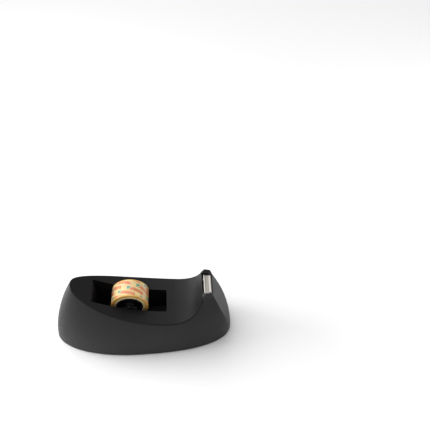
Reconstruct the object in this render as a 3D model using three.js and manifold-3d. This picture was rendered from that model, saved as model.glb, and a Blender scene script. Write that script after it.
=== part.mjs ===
// Weighted desk tape dispenser with a saddle-shaped deck, for rolls on a 1-inch core.
// Millimetres, +Z up, +X towards the cutter, origin under the middle of the base on the table.
import * as THREE from 'three';
import { mergeVertices } from 'three/addons/utils/BufferGeometryUtils.js';
import Module from 'manifold-3d';

const wasm = await Module();
wasm.setup();

// ---------- driving dimensions ----------

// the roll and its hub
const tapeWidth = 19;
const rollRadius = 18;
const coreRadius = 13;           // inside of the 1-inch core
const coreWall = 1.6;
const hubWall = 1.35;
const hubOverhang = 0.2;         // hub past the tape on each side
const hubRecess = 5;             // from the hub's face in to its spoked web
const webThickness = 1.8;
const bossRadius = 4.6;
const bossLength = 8;
const spokeCount = 6;
const axleRadius = 2.6;
const axleFlat = 2.3;            // half the width across the axle's end flats
const collarRadius = 3.8;
const collarThickness = 0.8;
const axleHeight = 51.2;

// room between pieces
const fitGap = 0.3;              // between neighbours side by side
const seatGap = 0.1;             // between pieces stacked on each other
const runningGap = 0.09;         // hub bore round the axle
const hubSideRoom = 3.2;         // roll to slot wall

// slot and well
const slotLength = 69.9;
const axleBehindMiddle = 0.38;   // axle behind the slot's middle, away from the cutter
const wellWall = 1.6;
const cradleWidth = 14;
const cradleRise = 0.6;          // cradle above the axle's middle
const notchSideGap = 0.2;

// body: base, taper and nose
const rearMargin = 46.15;        // base past the slot at the rear
const frontMargin = 64.45;       // base past the slot at the nose
const sideMargin = 21.5;         // base past the slot on each side
const widestFromSlotRear = 39.93;
const wall = 2.4;
const shellLift = 0.8;           // shell edge above the table
const sideTaper = 0.0031;        // the sides lean in by this times height squared
const rearLean = 0.1285;
const rearCurve = 0.0027;
const ovalLean = 0.2155;         // the front of the oval swells and then draws in
const ovalCurve = 0.0027;
const noseRake = 0.352;          // nose face, forward per height going down
const noseStraightFrom = 64.6;   // above this height the front half's oval stays as it is here
const noseStraightEase = 2.4;    // how gently that sets in
const noseFacePast = 5.24;       // nose plane past the base's end, at table height
const ovalPast = 1.12;           // uncut oval past the base's end, at table height
const noseCornerPower = 24;      // how tight the crease between side and nose face is, at the table
const noseCornerPowerRise = 0.0015;              // further tightness per height cubed
const rearSquareness = 2.06;
const rearSquarenessRise = 0.0087;
const frontSquareness = 2.55;
const frontSquarenessFall = 0.0076;

// deck: a profile carried across the body, from the rear crest down to the valley and up to the cutter
const deckLip = 1.0;             // its edge, over the shell's rim
const deckThickness = 2.2;
const seam = 0.4;
const skirtDepth = 4;
const skirtWall = 1.4;
const crestStart = { past: 41.9, z: 104 };       // distances from the slot's rear end
const crestPull = { from: 9.9, z: 43.8 };
const valley = { past: 9.0, z: 43.0 };           // distances from the slot's front end
const valleyPull = 2.2;
const rampPull = 20.8;
const rampTop = { past: 36.1, z: 66.46 };
const rampSteepness = 1.07;      // radians
const rampEndPull = 5.44;

// cutter
const bladeThickness = 0.5;
const bladeTop = 67.6;
const bladeDepth = 7.3;          // from its folded edge to the tips of its teeth
const bladeHalfWidth = 11.7;
const bladeGroove = 1.5;         // between the deck's end and the blade
const flangeDepth = 6.6;
const toothPitch = 1.17;
const toothDepth = 0.8;
const cheekRise = 1.8;           // inner edges of the nose cheeks above the blade
const cheekBevel = { run: 2.3, rise: 1.8 };      // from there out and up to their crests
const cheekMouth = 3;            // how many bevels high the opening between them is cut
const carrierDepth = 17;
const carrierFoot = 1.8;         // the carrier's step under the blade's flange
const bladeScrewSpan = 16;
const bladeScrewDrop = 4.2;

// underside
const padThickness = 1.6;
const padInset = 4;
const basePlateThickness = 3;
const ballastThickness = 10;
const ballastInset = 10.5;
const ballastLength = 146;
const ballastScrewSpan = 110;

// screws
const screwShaft = 1.25;
const screwHead = 2.2;
const screwHeadHeight = 1.4;
const screwLength = 8;
const bladeScrewShaft = 0.9;
const bladeScrewHead = 1.5;
const bladeScrewHeadHeight = 0.7;
const bladeScrewLength = 4;
const holeGap = 0.12;            // screw shaft to hole
const bossOuter = 3.6;
const bossInset = 5.8;
const bossTop = 17;
const bossTurns = [50, 130, 230, 310];   // degrees round the base

// ---------- places worked out from them ----------

const slotHalfWidth = tapeWidth / 2 + hubSideRoom;
const baseLength = rearMargin + slotLength + frontMargin;
const rearX = -baseLength / 2;
const frontX = baseLength / 2;
const slotRear = rearX + rearMargin;
const slotFront = slotRear + slotLength;
const axleX = (slotRear + slotFront) / 2 - axleBehindMiddle;
const middleX = slotRear + widestFromSlotRear;
const halfWidth = slotHalfWidth + sideMargin;
const hubHalf = tapeWidth / 2 + hubOverhang;
const hubRadius = coreRadius - fitGap / 2;
const grooveX = slotFront + rampTop.past;
const bladeX = grooveX + bladeGroove;
const basePlateBottom = padThickness + seatGap;
const basePlateTop = basePlateBottom + basePlateThickness;
const ballastBottom = basePlateTop + seatGap;
const wellBottom = ballastBottom + ballastThickness + seatGap;
const wellFloor = wellBottom + wellWall;
const bladeUnderside = bladeTop - bladeThickness;
const carrierTop = bladeUnderside - fitGap;
const bodyTop = 88;
const far = 140;                 // past everything

// ---------- shape helpers ----------

const ringPoints = 64;
const bodyLevels = 10;
const curveSteps = 14;
const roundSides = 40;
const smallSides = 16;
const screwSides = 12;

function toSolid(geometry) {
  const plain = geometry.index ? geometry.clone() : geometry;
  plain.deleteAttribute('normal');
  plain.deleteAttribute('uv');
  const merged = mergeVertices(plain, 1e-4);
  return new wasm.Manifold(new wasm.Mesh({
    numProp: 3,
    vertProperties: new Float32Array(merged.attributes.position.array),
    triVerts: new Uint32Array(merged.index.array),
  }));
}

function toGeometry(solid) {
  const data = solid.getMesh();
  const geometry = new THREE.BufferGeometry();
  geometry.setAttribute('position', new THREE.BufferAttribute(data.vertProperties, 3));
  geometry.setIndex(new THREE.BufferAttribute(data.triVerts, 1));
  geometry.computeVertexNormals();
  return geometry;
}

// a box given by its lowest and highest corners
function block(x0, x1, y0, y1, z0, z1) {
  const box = new THREE.BoxGeometry(x1 - x0, y1 - y0, z1 - z0);
  box.translate((x0 + x1) / 2, (y0 + y1) / 2, (z0 + z1) / 2);
  return toSolid(box);
}

// a solid turned about Y from a closed [radius, y] outline, at (x, z)
function turned(outline, x = 0, z = 0, sides = roundSides) {
  const points = outline.map(([radius, y]) => new THREE.Vector2(radius, y));
  points.push(points[0].clone());
  const lathe = new THREE.LatheGeometry(points, sides);
  lathe.translate(x, 0, z);
  return toSolid(lathe);
}

// a ring or tube about the axle
function axleRing(inner, outer, y0, y1) {
  return turned([[inner, y0], [outer, y0], [outer, y1], [inner, y1]], axleX, axleHeight);
}

// a solid cylinder along Z
function upright(radius, x, y, z0, z1) {
  const cylinder = new THREE.CylinderGeometry(radius, radius, z1 - z0, smallSides);
  cylinder.rotateX(Math.PI / 2);
  cylinder.translate(x, y, (z0 + z1) / 2);
  return toSolid(cylinder);
}

// an outline of [x, z] points carried across the whole width
function acrossBody(points) {
  const shape = new THREE.Shape(points.map(([x, z]) => new THREE.Vector2(x, z)));
  const extruded = new THREE.ExtrudeGeometry(shape, { depth: 2 * far, bevelEnabled: false });
  extruded.rotateX(Math.PI / 2);
  extruded.translate(0, far, 0);
  return toSolid(extruded);
}

// an outline of [y, z] points carried from x0 to the cutter's side of everything
function alongBody(points, x0) {
  const shape = new THREE.Shape(points.map(([y, z]) => new THREE.Vector2(y, z)));
  const extruded = new THREE.ExtrudeGeometry(shape, { depth: far - x0, bevelEnabled: false });
  extruded.rotateX(Math.PI / 2);
  extruded.rotateZ(Math.PI / 2);
  extruded.translate(x0, 0, 0);
  return toSolid(extruded);
}

// a point of the body's outline at height z, moved in from the surface by inset: a superellipse
// whose two halves differ, held back at the front by the flat nose face
function outlinePoint(turn, z, inset) {
  const cos = Math.cos(turn);
  const sin = Math.sin(turn);
  const rear = middleX - (rearX + rearLean * z + rearCurve * z * z) - inset;
  const eased = (z + noseStraightFrom - Math.hypot(z - noseStraightFrom, noseStraightEase)) / 2;
  const level = cos < 0 ? z : eased;
  const front = frontX + ovalPast + ovalLean * level - ovalCurve * level * level - middleX - inset;
  const face = frontX + noseFacePast - noseRake * z - middleX - inset * Math.hypot(1, noseRake);
  const side = halfWidth - sideTaper * level * level - inset;
  const reach = cos < 0 ? rear : front;
  const squareness = cos < 0
    ? rearSquareness + rearSquarenessRise * level
    : frontSquareness - frontSquarenessFall * level;
  const oval = (Math.abs(cos) ** squareness + Math.abs(sin) ** squareness) ** (1 / squareness);
  const nose = Math.max(0, reach * cos / face);
  const power = noseCornerPower + noseCornerPowerRise * Math.max(0, z) ** 3;
  const scale = (oval ** power + nose ** power) ** (-1 / power);
  return [middleX + scale * reach * cos, scale * side * sin];
}

// the tapered body between two heights, moved in by inset
function body(inset, z0 = 0, z1 = bodyTop) {
  const positions = [];
  for (let level = 0; level <= bodyLevels; level += 1) {
    const z = z0 + (z1 - z0) * level / bodyLevels;
    for (let i = 0; i < ringPoints; i += 1) {
      const [x, y] = outlinePoint(2 * Math.PI * i / ringPoints, z, inset);
      positions.push(x, y, z);
    }
  }
  positions.push(middleX, 0, z0, middleX, 0, z1);
  const bottomCentre = (bodyLevels + 1) * ringPoints;
  const index = [];
  for (let i = 0; i < ringPoints; i += 1) {
    const next = (i + 1) % ringPoints;
    for (let level = 0; level < bodyLevels; level += 1) {
      const low = level * ringPoints;
      const high = low + ringPoints;
      index.push(low + i, low + next, high + next, low + i, high + next, high + i);
    }
    const top = bodyLevels * ringPoints;
    index.push(bottomCentre, next, i, bottomCentre + 1, top + i, top + next);
  }
  const geometry = new THREE.BufferGeometry();
  geometry.setAttribute('position', new THREE.Float32BufferAttribute(positions, 3));
  geometry.setIndex(index);
  return toSolid(geometry);
}

// the deck's profile as [x, z] points with their downward normals, rear to cutter
function deckProfile() {
  const rear = [
    new THREE.Vector2(slotRear - crestStart.past, crestStart.z),
    new THREE.Vector2(slotRear + crestPull.from, crestPull.z),
    new THREE.Vector2(slotFront + valley.past - valleyPull, valley.z),
    new THREE.Vector2(slotFront + valley.past, valley.z),
  ];
  const top = new THREE.Vector2(grooveX, rampTop.z);
  const ramp = [
    rear[3],
    new THREE.Vector2(slotFront + valley.past + rampPull, valley.z),
    new THREE.Vector2(
      top.x - rampEndPull * Math.cos(rampSteepness),
      top.y - rampEndPull * Math.sin(rampSteepness),
    ),
    top,
  ];
  const curves = [new THREE.CubicBezierCurve(...rear), new THREE.CubicBezierCurve(...ramp)];
  return curves.flatMap((curve, which) => {
    const samples = [];
    for (let step = which; step <= curveSteps; step += 1) {
      const point = curve.getPoint(step / curveSteps);
      const along = curve.getTangent(step / curveSteps);
      samples.push({ x: point.x, z: point.y, downX: along.y, downZ: -along.x });
    }
    return samples;
  });
}

// everything under the deck's top surface moved down by depth, from the rear to endX, and under
// the points that follow, if the outline goes on beyond endX
function underDeck(depth, endX, beyond = []) {
  const line = deckProfile().map((p) => [p.x + depth * p.downX, p.z + depth * p.downZ]);
  const [x0, z0] = line[0];
  const [x1, z1] = line[line.length - 1];
  const points = [[x0 - far, z0 + far], ...line.filter(([x]) => x < endX)];
  if (x1 < endX) {
    points.push([endX, z1 + (endX - x1) * Math.tan(rampSteepness)]);
  } else {
    const after = line.find(([x]) => x >= endX);
    const [beforeX, beforeZ] = points[points.length - 1];
    const share = (endX - beforeX) / (after[0] - beforeX);
    points.push([endX, beforeZ + share * (after[1] - beforeZ)]);
  }
  points.push(...beyond, [beyond.length ? far : endX, -far], [x0 - far, -far]);
  return acrossBody(points);
}

// a screw along +Z, its head's underside at z = 0 and its shaft going up
function screw(shaft, head, headHeight, length) {
  const points = [
    [0, -headHeight], [head * 0.7, -headHeight], [head, -headHeight * 0.6], [head, 0],
    [shaft, 0], [shaft, length - shaft * 0.6], [shaft * 0.4, length], [0, length],
  ].map(([radius, y]) => new THREE.Vector2(radius, y));
  const lathe = new THREE.LatheGeometry(points, screwSides);
  lathe.rotateX(Math.PI / 2);
  const arm = head * 0.55;
  const slit = head * 0.12;
  const cross = block(-arm, arm, -slit, slit, -headHeight - 1, -headHeight * 0.5)
    .add(block(-slit, slit, -arm, arm, -headHeight - 1, -headHeight * 0.5));
  return toSolid(lathe).subtract(cross);
}

// ---------- materials ----------

function finish(color, roughness, metalness = 0) {
  return new THREE.MeshStandardMaterial({ color, roughness, metalness });
}

const charcoalPlastic = finish(0x3a383b, 0.6);
const deckPlastic = finish(0x2a292b, 0.55);
const wellPlastic = finish(0x151515, 0.7);
const hubPlastic = finish(0x1c1c1e, 0.45);
const stainless = finish(0xc9c6c0, 0.3, 1);
const screwSteel = finish(0xa9abad, 0.35, 1);
const castIron = finish(0x55575a, 0.8, 1);
const foam = finish(0x1b1b1b, 0.95);
const paperboard = finish(0xe9d9a2, 0.85);
const clearTape = finish(0xe7c886, 0.25);

const dispenser = new THREE.Group();

function addPiece(name, solid, material, parent = dispenser) {
  const mesh = new THREE.Mesh(toGeometry(solid), material);
  mesh.name = name;
  parent.add(mesh);
  return mesh;
}

// ---------- body ----------

// where the four base screws enter the shell's bosses
const bossPlaces = bossTurns.map((degrees) => (
  outlinePoint(THREE.MathUtils.degToRad(degrees), basePlateTop, bossInset)
));

function sideShell() {
  const cheekEdge = bladeTop + cheekRise;
  const cheekCrest = cheekEdge + cheekBevel.rise;
  const noseStart = grooveX + fitGap;
  const rampSlope = Math.tan(rampSteepness);
  const outside = underDeck(deckLip + seam, noseStart, [
    [noseStart, rampTop.z + (noseStart - grooveX) * rampSlope],
    [grooveX + (cheekCrest - rampTop.z) / rampSlope, cheekCrest],
    [far, cheekCrest],
  ]);
  const pocketHalf = bladeHalfWidth + fitGap;
  const mouthHalf = pocketHalf + cheekMouth * cheekBevel.run;
  const mouthTop = cheekEdge + cheekMouth * cheekBevel.rise;
  const pocket = alongBody([
    [-pocketHalf, carrierTop], [pocketHalf, carrierTop], [pocketHalf, cheekEdge],
    [mouthHalf, mouthTop], [-mouthHalf, mouthTop], [-pocketHalf, cheekEdge],
  ], noseStart - 1);
  // the cheeks are solid above the carrier
  const hollow = body(wall, -1).subtract(block(noseStart, far, -far, far, carrierTop + seatGap, far));
  let shell = body(0, shellLift).subtract(hollow).intersect(outside).subtract(pocket)
    .subtract(block(noseStart - 1, bladeX + bladeThickness + fitGap, -pocketHalf, pocketHalf,
      bladeTop - flangeDepth - fitGap, far));
  for (const [x, y] of bossPlaces) {
    const boss = upright(bossOuter, x, y, basePlateTop + seatGap, bossTop)
      .intersect(body(wall / 2));
    shell = shell.add(boss).subtract(upright(screwShaft + holeGap, x, y, 0, bossTop - wall));
  }
  return shell;
}
addPiece('side_shell', sideShell(), charcoalPlastic);

function topDeck() {
  const lip = body(0).intersect(underDeck(0, grooveX)).subtract(underDeck(deckLip, far / 2));
  const inside = body(wall + fitGap);
  const plate = inside.intersect(underDeck(0, grooveX))
    .subtract(underDeck(deckThickness, far / 2));
  const skirt = inside.subtract(body(wall + fitGap + skirtWall, -1))
    .intersect(underDeck(deckLip, grooveX))
    .subtract(underDeck(deckThickness + skirtDepth, far / 2))
    .subtract(block(slotRear - wellWall - fitGap, slotFront + wellWall + fitGap,
      -slotHalfWidth - wellWall - fitGap, slotHalfWidth + wellWall + fitGap, 0, far));
  const slot = block(slotRear, slotFront, -slotHalfWidth, slotHalfWidth, 0, far);
  return lip.add(plate).add(skirt).subtract(slot);
}
addPiece('top_deck', topDeck(), deckPlastic);

function rollWell() {
  const reach = slotHalfWidth + wellWall;
  return block(slotRear - wellWall, slotFront + wellWall, -reach, reach, wellBottom, far)
    .subtract(block(slotRear, slotFront, -slotHalfWidth, slotHalfWidth, wellFloor, far + 1))
    .intersect(underDeck(deckThickness + fitGap, far / 2))
    .intersect(body(wall + fitGap));
}
addPiece('roll_well', rollWell(), wellPlastic);

// an upright plate with an open-topped notch for one end of the axle
function axleCradle(side) {
  const outerY = slotHalfWidth - fitGap;
  const innerY = hubHalf + collarThickness;
  const [y0, y1] = side < 0 ? [-outerY, -innerY] : [innerY, outerY];
  const notch = axleFlat + notchSideGap;
  return block(axleX - cradleWidth / 2, axleX + cradleWidth / 2, y0, y1,
    wellFloor + fitGap, axleHeight + cradleRise)
    .subtract(block(axleX - notch, axleX + notch, -far, far, axleHeight - axleRadius - seatGap, far));
}
addPiece('near_axle_cradle', axleCradle(-1), wellPlastic);
addPiece('far_axle_cradle', axleCradle(1), wellPlastic);

// ---------- cutter ----------

const bladeScrewPlaces = [-bladeScrewSpan / 2, bladeScrewSpan / 2];
const bladeScrewHeight = bladeTop - bladeScrewDrop;

function alongX(radius, y, z, x0, x1) {
  const cylinder = new THREE.CylinderGeometry(radius, radius, x1 - x0, smallSides);
  cylinder.rotateZ(Math.PI / 2);
  cylinder.translate((x0 + x1) / 2, y, z);
  return toSolid(cylinder);
}

function bladeCarrier() {
  const backX = bladeX + bladeThickness + fitGap;
  const stepTop = bladeTop - flangeDepth - fitGap;
  let carrier = body(wall + fitGap)
    .intersect(block(backX, far, -far, far, carrierTop - carrierDepth, carrierTop)
      .add(block(backX - carrierFoot, far, -far, far, carrierTop - carrierDepth, stepTop)))
    .subtract(block(0, grooveX + fitGap, -far, far, 0, far))
    .intersect(underDeck(deckThickness + skirtDepth + fitGap, far / 2)
      .add(block(grooveX + fitGap, far, -far, far, 0, far)));
  for (const y of bladeScrewPlaces) {
    const hole = alongX(bladeScrewShaft + holeGap, y, bladeScrewHeight,
      backX - 1, backX + bladeScrewLength);
    carrier = carrier.subtract(hole);
  }
  return carrier;
}
addPiece('blade_carrier', bladeCarrier(), wellPlastic);

// the top plate's outline seen from above, with its row of teeth, and the flange folded down behind
function cuttingBlade() {
  const tipX = bladeX + bladeDepth;
  const teeth = Math.round(2 * bladeHalfWidth / toothPitch);
  const pitch = 2 * bladeHalfWidth / teeth;
  const outline = new THREE.Shape();
  outline.moveTo(bladeX, -bladeHalfWidth);
  for (let tooth = 0; tooth < teeth; tooth += 1) {
    const start = -bladeHalfWidth + tooth * pitch;
    outline.lineTo(tipX - toothDepth, start);
    outline.lineTo(tipX, start + pitch / 2);
  }
  outline.lineTo(tipX - toothDepth, bladeHalfWidth);
  outline.lineTo(bladeX, bladeHalfWidth);
  const plate = new THREE.ExtrudeGeometry(outline, { depth: bladeThickness, bevelEnabled: false });
  plate.translate(0, 0, bladeUnderside);
  let blade = toSolid(plate).add(block(bladeX, bladeX + bladeThickness,
    -bladeHalfWidth, bladeHalfWidth, bladeTop - flangeDepth, bladeTop));
  for (const y of bladeScrewPlaces) {
    const hole = alongX(bladeScrewShaft + holeGap, y, bladeScrewHeight, bladeX - 1, bladeX + 1);
    blade = blade.subtract(hole);
  }
  return blade;
}
addPiece('cutting_blade', cuttingBlade(), stainless);

['near', 'far'].forEach((side, which) => {
  const holder = new THREE.Group();
  holder.position.set(bladeX - seatGap, bladeScrewPlaces[which], bladeScrewHeight);
  holder.rotation.y = Math.PI / 2;
  const solid = screw(bladeScrewShaft, bladeScrewHead, bladeScrewHeadHeight, bladeScrewLength);
  addPiece(`blade_screw_${side}`, solid, screwSteel, holder);
  dispenser.add(holder);
});

// ---------- underside ----------

const ballastScrewPlaces = [[-ballastScrewSpan / 2, 0], [ballastScrewSpan / 2, 0]];
const headSeat = basePlateBottom + screwHeadHeight + 2 * seatGap;

function basePlate() {
  let plate = body(wall + fitGap, 0)
    .intersect(block(-far, far, -far, far, basePlateBottom, basePlateTop));
  for (const [x, y] of [...bossPlaces, ...ballastScrewPlaces]) {
    plate = plate.subtract(upright(screwShaft + holeGap, x, y, 0, far))
      .subtract(upright(screwHead + fitGap, x, y, 0, headSeat));
  }
  return plate;
}
addPiece('base_plate', basePlate(), wellPlastic);

function ballastSlab() {
  const half = ballastLength / 2;
  let slab = body(ballastInset)
    .intersect(block(-half, half, -far, far, ballastBottom, ballastBottom + ballastThickness));
  for (const [x, y] of ballastScrewPlaces) {
    const hole = upright(screwShaft + holeGap, x, y, 0, headSeat + screwLength + fitGap);
    slab = slab.subtract(hole);
  }
  return slab;
}
addPiece('ballast_slab', ballastSlab(), castIron);

function placeBaseScrew(name, [x, y]) {
  const solid = screw(screwShaft, screwHead, screwHeadHeight, screwLength);
  addPiece(name, solid, screwSteel).position.set(x, y, headSeat - seatGap);
}
bossPlaces.forEach((place, which) => placeBaseScrew(`base_screw_${which + 1}`, place));
placeBaseScrew('ballast_screw_rear', ballastScrewPlaces[0]);
placeBaseScrew('ballast_screw_front', ballastScrewPlaces[1]);

addPiece('non_slip_pad',
  body(padInset, -1).intersect(block(-far, far, -far, far, 0, padThickness)), foam);

// ---------- axle, hub and roll ----------

const axleEnd = slotHalfWidth - fitGap - seatGap;
const collarStart = hubHalf - 0.4;
const collarEnd = collarStart + collarThickness;
const bossEnd = collarStart - seatGap;

function axlePin() {
  const chamfer = 0.4;
  const grooveRadius = axleRadius - 0.5;
  const pin = turned([
    [0, -axleEnd], [axleRadius - chamfer, -axleEnd], [axleRadius, -axleEnd + chamfer],
    [axleRadius, -collarEnd], [collarRadius, -collarEnd], [collarRadius, -collarStart],
    [axleRadius, -collarStart], [axleRadius, collarStart - seatGap / 2],
    [grooveRadius, collarStart - seatGap / 2], [grooveRadius, collarEnd + seatGap / 2],
    [axleRadius, collarEnd + seatGap / 2], [axleRadius, axleEnd - chamfer],
    [axleRadius - chamfer, axleEnd], [0, axleEnd],
  ], axleX, axleHeight, 2 * smallSides);
  const flatsFrom = collarEnd + fitGap;
  let cut = pin;
  for (const [y0, y1] of [[-far, -flatsFrom], [flatsFrom, far]]) {
    cut = cut.subtract(block(axleX + axleFlat, far, y0, y1, 0, far))
      .subtract(block(-far, axleX - axleFlat, y0, y1, 0, far));
  }
  return cut;
}
addPiece('axle_pin', axlePin(), screwSteel);

// an open ring sprung into the axle's groove
function axleClip() {
  const mouth = axleRadius * 0.7;
  return axleRing(axleRadius - 0.4, collarRadius, collarStart, collarEnd)
    .subtract(block(axleX - mouth, axleX + mouth, -far, far, axleHeight, far));
}
addPiece('axle_clip', axleClip(), screwSteel);

// round openings that leave spokes in a web between y0 and y1
function spokeOpenings(rimRadius, y0, y1) {
  const middle = (rimRadius + bossRadius) / 2;
  const radius = (rimRadius - bossRadius) / 2 - 0.5;
  const openings = [];
  for (let i = 0; i < spokeCount; i += 1) {
    const turn = 2 * Math.PI * i / spokeCount;
    openings.push(turned([[0, y0], [radius, y0], [radius, y1], [0, y1]],
      axleX + middle * Math.cos(turn), axleHeight + middle * Math.sin(turn), screwSides));
  }
  return openings;
}

function hubHalfDisc(rimRadius, side) {
  const face = side * (hubHalf - hubRecess);
  const back = face - side * webThickness;
  const [y0, y1] = side < 0 ? [face, back] : [back, face];
  const bossFrom = side * bossEnd;
  const bossTo = side * (bossEnd - bossLength);
  let disc = axleRing(axleRadius + runningGap, rimRadius, y0, y1)
    .add(axleRing(axleRadius + runningGap, bossRadius,
      Math.min(bossFrom, bossTo), Math.max(bossFrom, bossTo)));
  for (const opening of spokeOpenings(rimRadius, y0 - 1, y1 + 1)) {
    disc = disc.subtract(opening);
  }
  return disc;
}

const drumInner = hubRadius - hubWall;
addPiece('hub_drum',
  hubHalfDisc(hubRadius - hubWall / 2, -1).add(axleRing(drumInner, hubRadius, -hubHalf, hubHalf)),
  hubPlastic);
addPiece('hub_cap', hubHalfDisc(drumInner - seatGap, 1), hubPlastic);
addPiece('tape_core',
  axleRing(coreRadius, coreRadius + coreWall, -tapeWidth / 2, tapeWidth / 2), paperboard);
addPiece('tape_winding',
  axleRing(coreRadius + coreWall + seatGap, rollRadius, -tapeWidth / 2, tapeWidth / 2), clearTape);

export default dispenser;
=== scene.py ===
"""Desk tape dispenser: the visible pieces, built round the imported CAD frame.

Every length is in metres, and each piece is made in place: +X towards the cutter, +Y to the far
side, +Z up, with the origin on the table under the middle of the base.
"""
import math

import bmesh
import bpy
import numpy as np
from bpy.props import FloatProperty, FloatVectorProperty, IntProperty, PointerProperty
from mathutils import Euler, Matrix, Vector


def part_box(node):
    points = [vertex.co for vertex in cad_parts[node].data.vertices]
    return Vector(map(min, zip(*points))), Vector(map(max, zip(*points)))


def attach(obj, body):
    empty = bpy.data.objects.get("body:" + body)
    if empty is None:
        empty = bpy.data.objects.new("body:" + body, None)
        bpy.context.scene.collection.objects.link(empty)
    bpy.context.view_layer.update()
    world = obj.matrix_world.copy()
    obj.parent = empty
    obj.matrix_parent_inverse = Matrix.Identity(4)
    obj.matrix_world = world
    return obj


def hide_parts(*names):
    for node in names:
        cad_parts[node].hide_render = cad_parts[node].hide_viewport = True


bl_info = {
    "name": "Desk Tape Dispenser",
    "version": (1, 0, 0),
    "blender": (4, 5, 0),
    "location": "3D View > Sidebar > Dispenser",
    "description": "Builds a weighted desk tape dispenser with its roll, hub and cutter",
    "category": "Add Mesh",
}

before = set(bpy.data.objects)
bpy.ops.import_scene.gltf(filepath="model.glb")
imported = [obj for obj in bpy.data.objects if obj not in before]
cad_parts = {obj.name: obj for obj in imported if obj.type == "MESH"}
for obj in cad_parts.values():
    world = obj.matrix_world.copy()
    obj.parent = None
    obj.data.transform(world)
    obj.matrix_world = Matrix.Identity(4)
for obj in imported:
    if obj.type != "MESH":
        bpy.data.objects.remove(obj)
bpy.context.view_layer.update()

SHELL_LOW, SHELL_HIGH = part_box("side_shell")
WELL_LOW, WELL_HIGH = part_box("roll_well")
_, CRADLE_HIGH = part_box("far_axle_cradle")
BLADE_LOW, BLADE_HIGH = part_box("cutting_blade")
_, CARRIER_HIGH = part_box("blade_carrier")
ROLL_LOW, ROLL_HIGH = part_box("tape_winding")
CORE_LOW, CORE_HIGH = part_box("tape_core")
DRUM_LOW, DRUM_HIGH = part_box("hub_drum")
CAP_LOW, CAP_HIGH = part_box("hub_cap")
PIN_LOW, PIN_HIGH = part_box("axle_pin")
CLIP_LOW, CLIP_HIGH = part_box("axle_clip")
PAD_LOW, PAD_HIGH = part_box("non_slip_pad")
AXLE_X = (ROLL_LOW.x + ROLL_HIGH.x) / 2
AXLE_Z = (ROLL_LOW.z + ROLL_HIGH.z) / 2
SMALL = 1e-6                     # points closer than this are one point
FIT_GAP = 0.0003                 # between neighbouring pieces
POCKET_HALF = BLADE_HIGH.y + FIT_GAP
CHEEK_RISE = 0.0018              # the cheeks' inner edges above the blade
BEVEL_RUN, BEVEL_RISE = 0.0023, 0.0018   # from there out and up to their crests
CHEEK_EDGE = BLADE_HIGH.z + CHEEK_RISE
CHEEK_CREST = CHEEK_EDGE + BEVEL_RISE
CHEEK_BEVEL = BEVEL_RISE / BEVEL_RUN
CORE_WALL = 0.0016
AXLE_RADIUS = 0.0026
AXLE_FLAT = 0.0023               # half the width across the axle's end flats
HUB_BORE = 0.00269
BOSS_LENGTH = 0.008
SPOKE_HALF = 0.0011              # half a spoke's breadth, halfway along
SPOKE_FLARE = 1.2                # how much wider it is at its ends


def length(name, description, default, low=0.0):
    """A length property in metres."""
    return FloatProperty(name=name, description=description, default=default, min=low,
                         unit="LENGTH", precision=5)


def colour(name, description, default):
    """A colour property, linear red, green and blue."""
    return FloatVectorProperty(name=name, description=description, default=default,
                               subtype="COLOR", min=0.0, max=1.0)


# ---------- sizes and finishes that a user would change ----------

class BodySizes(bpy.types.PropertyGroup):
    """The tapered body and its side wall."""
    rear_lean: FloatProperty(name="Rear lean", default=0.1285,
                             description="How far the rear end leans in per height")
    rear_curve: FloatProperty(name="Rear curve", default=2.7,
                              description="Further lean of the rear end, per height squared")
    side_taper: FloatProperty(name="Side taper", default=3.1,
                              description="How far each side draws in, per height squared")
    nose_rake: FloatProperty(name="Nose rake", default=0.352,
                             description="How far the nose face leans back per height")
    nose_past: length("Nose past base", "Nose plane past the base's end at the table", 0.00514)
    oval_past: length("Oval past base", "Uncut oval past the base's end at the table", 0.00102)
    oval_lean: FloatProperty(name="Oval lean", default=0.2155,
                             description="How far the front of the oval swells per height")
    wall: length("Wall", "Thickness of the side wall", 0.0024)
    lift: length("Lift", "Lower edge above the table", SHELL_LOW.z)
    foot_round: length("Foot rounding", "Radius along the lower edge", 0.0007)
    rim_round: length("Rim rounding", "Radius along the upper edge", 0.00035)
    cheek_round: length("Cheek rounding", "Radius of the nose cheeks seen from the side", 0.0012)


class DeckSizes(bpy.types.PropertyGroup):
    """The saddle-shaped top plate."""
    lip: length("Lip", "Thickness of the edge over the side wall", 0.001)
    thickness: length("Thickness", "Thickness inside the side wall", 0.0022)
    seam: length("Seam", "Shadow gap between the lip and the side wall", 0.0004)
    edge_round: length("Edge rounding", "Radius along the outer edge", 0.00035)
    slot_round: length("Slot rounding", "Radius along the slot's edge", 0.0003)
    slot_corner: length("Slot corner", "Corner radius of the slot", 0.0006)


class CutterSizes(bpy.types.PropertyGroup):
    """The folded strip with its row of teeth."""
    sheet: length("Sheet", "Thickness of the strip", 0.0004)
    fold: length("Fold", "Radius of the fold at the back", 0.0009)
    channel: length("Channel", "Depth of the shallow channel along the strip", 0.00032)
    tooth_pitch: length("Tooth pitch", "Distance from tooth to tooth", 0.00117)
    tooth_depth: length("Tooth depth", "Depth of the teeth", 0.0008)


class RollSizes(bpy.types.PropertyGroup):
    """The roll of tape and the hub that it turns on."""
    edge_round: length("Edge rounding", "Radius at the roll's edges", 0.0003)
    hub_wall: length("Hub wall", "Thickness of the hub's drum", 0.00135)
    hub_recess: length("Hub recess", "Depth from the hub's face to its spokes", 0.005)
    web: length("Web", "Thickness of the spokes", 0.0018)
    boss_radius: length("Boss radius", "Radius of the hub's middle", 0.0046)
    spokes: IntProperty(name="Spokes", description="Number of spokes", default=6, min=3)


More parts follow.
